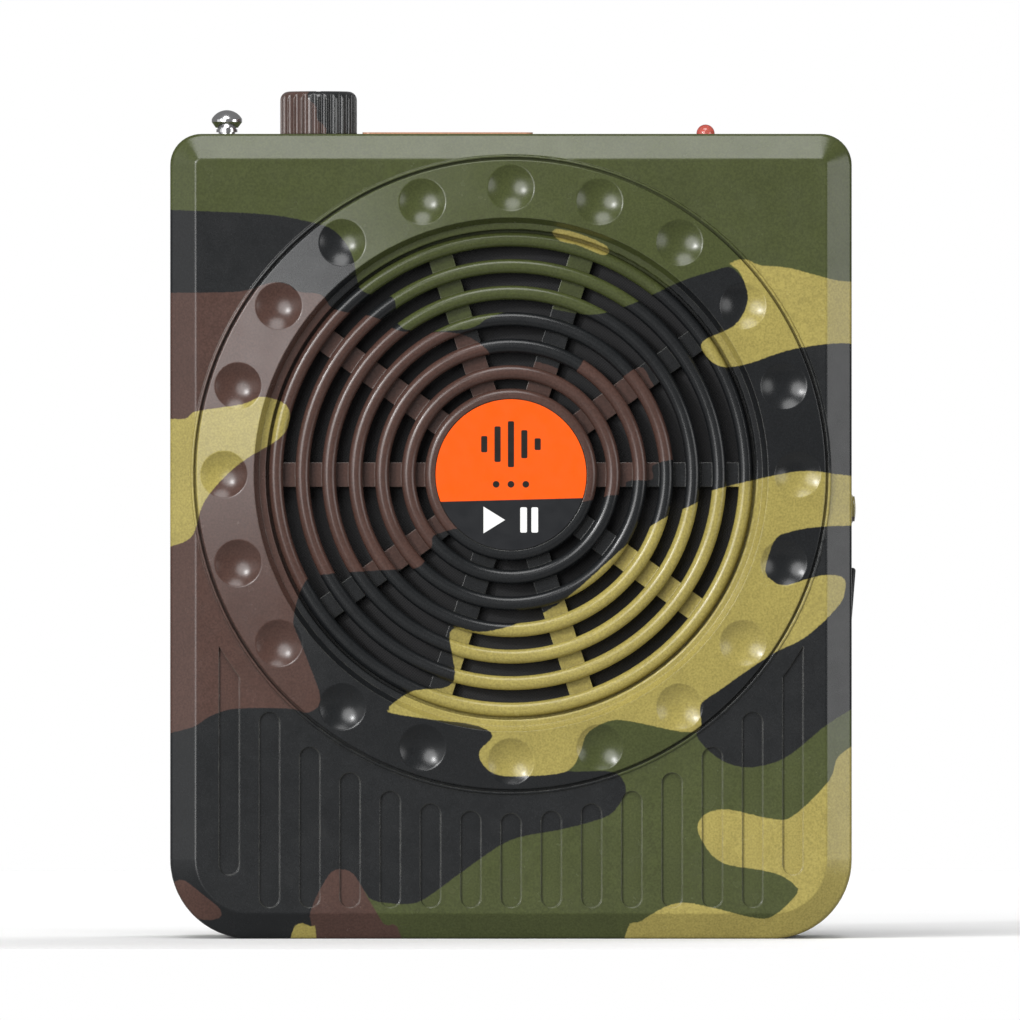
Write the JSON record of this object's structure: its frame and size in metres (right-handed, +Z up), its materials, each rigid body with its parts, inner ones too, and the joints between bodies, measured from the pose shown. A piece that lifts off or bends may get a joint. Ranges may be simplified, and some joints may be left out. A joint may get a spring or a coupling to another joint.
{
  "type": "electronic game caller",
  "caption": "Pocket electronic game caller: camouflage case with round speaker grille, volume knob, telescopic antenna, side controls and belt clip.",
  "frame": {"origin": "centre of the flat base, half way between the front and rear faces of the case", "axes": "+Z up, -Y out of the speaker grille, +X to the side with the push button and rocker"},
  "size_m": [0.0925, 0.0501, 0.1143],
  "materials": {
    "case_green": "camouflage film over satin plastic",
    "knob_plastic": "satin camouflage plastic",
    "black_plastic": "satin",
    "label_film": "printed film",
    "panel_film": "printed film",
    "cloth": "woven",
    "foam": "foam",
    "black_steel": "powder coat",
    "butyl": "satin",
    "paper": "pressed paper",
    "copper": "enamelled wire on former",
    "spider_cloth": "phenolic cloth",
    "zinc_steel": "zinc plated",
    "ferrite": "sintered",
    "chrome": "polished",
    "nickel": "nickel plated",
    "board_green": "solder mask",
    "chip_black": "moulded epoxy",
    "capacitor_can": "sleeved can",
    "red_lens": "clear tinted",
    "led_white": "moulded",
    "tongue_plastic": "moulded",
    "cell_wrap": "shrink sleeve",
    "spring_steel": "nickel plated",
    "lead_red": "insulated wire",
    "lead_black": "insulated wire"
  },
  "bodies": {
    "case": {"front_shell": "case_green", "rear_shell": "case_green", "case_screws": "black_steel", "board_screws": "zinc_steel", "speaker_screws": "zinc_steel", "clip_screws": "zinc_steel", "antenna_screw": "zinc_steel", "label_disc": "label_film", "dust_cloth": "cloth", "speaker_gasket": "foam", "speaker_basket": "black_steel", "speaker_surround": "butyl", "speaker_spider": "spider_cloth", "speaker_top_plate": "zinc_steel", "speaker_magnet": "ferrite", "speaker_yoke": "zinc_steel", "pot_body": "black_plastic", "antenna_base_tube": "chrome", "port_panel": "panel_film", "usb_socket": "nickel", "usb_tongue": "tongue_plastic", "card_socket": "nickel", "mic_jack": "black_plastic", "aux_jack": "black_plastic", "charge_socket": "nickel", "led_lens": "red_lens", "main_board": "board_green", "amplifier_chip": "chip_black", "controller_chip": "chip_black", "capacitors": "capacitor_can", "inductor": "ferrite", "status_led": "led_white", "side_board": "board_green", "button_switch": "black_plastic", "rocker_switch_body": "black_plastic", "battery_cell": "cell_wrap", "battery_spring_contact": "spring_steel", "battery_plate_contact": "nickel", "clip_bracket": "black_steel", "clip_pin": "nickel", "clip_spring": "spring_steel", "speaker_leads": "lead_red", "battery_leads": "lead_black", "antenna_lead": "lead_black"},
    "knob": {"volume_knob": "knob_plastic", "pot_shaft": "nickel"},
    "antenna_section_1": {"antenna_first_section": "chrome"},
    "antenna_section_2": {"antenna_second_section": "chrome"},
    "antenna_tip": {"antenna_tip_rod": "chrome", "antenna_tip_cap": "chrome"},
    "button": {"play_button": "knob_plastic", "switch_plunger": "tongue_plastic"},
    "rocker": {"rocker_key": "black_plastic"},
    "door": {"battery_door": "case_green"},
    "clip": {"clip_arm": "black_plastic"},
    "cone": {"speaker_cone": "paper", "voice_coil": "copper", "dust_cap": "paper"}
  },
  "joints": [
    {"name": "volume_turn", "type": "hinge", "parent": "case", "child": "knob", "pos_m": [-0.026, -0.0026, 0.111], "axis": [0, 0, 1], "range_deg": [-150, 150]},
    {"name": "antenna_pull_1", "type": "slide", "parent": "case", "child": "antenna_section_1", "axis": [0, 0, 1], "range_m": [0, 0.074]},
    {"name": "antenna_pull_2", "type": "slide", "parent": "antenna_section_1", "child": "antenna_section_2", "axis": [0, 0, 1], "range_m": [0, 0.072]},
    {"name": "antenna_pull_3", "type": "slide", "parent": "antenna_section_2", "child": "antenna_tip", "axis": [0, 0, 1], "range_m": [0, 0.07]},
    {"name": "button_press", "type": "slide", "parent": "case", "child": "button", "axis": [-1, 0, 0], "range_m": [0, 0.00035], "stiffness_N_per_m": 3000, "springref_m": -0.0001},
    {"name": "power_rock", "type": "hinge", "parent": "case", "child": "rocker", "pos_m": [0.042, -0.004, 0.0465], "axis": [0, -1, 0], "range_deg": [0, 9]},
    {"name": "door_slide", "type": "slide", "parent": "case", "child": "door", "axis": [0, 0, -1], "range_m": [0, 0.028]},
    {"name": "clip_open", "type": "hinge", "parent": "case", "child": "clip", "pos_m": [0, 0.0252, 0.086], "axis": [1, 0, 0], "range_deg": [0, 20], "stiffness_Nm_per_rad": 0.3, "springref_deg": -20.05, "deforming": ["clip_spring"]},
    {"name": "cone_travel", "type": "slide", "parent": "case", "child": "cone", "axis": [0, -1, 0], "range_m": [-0.0012, 0.0012], "stiffness_N_per_m": 1500, "deforming": ["speaker_surround", "speaker_spider"]}
  ]
}
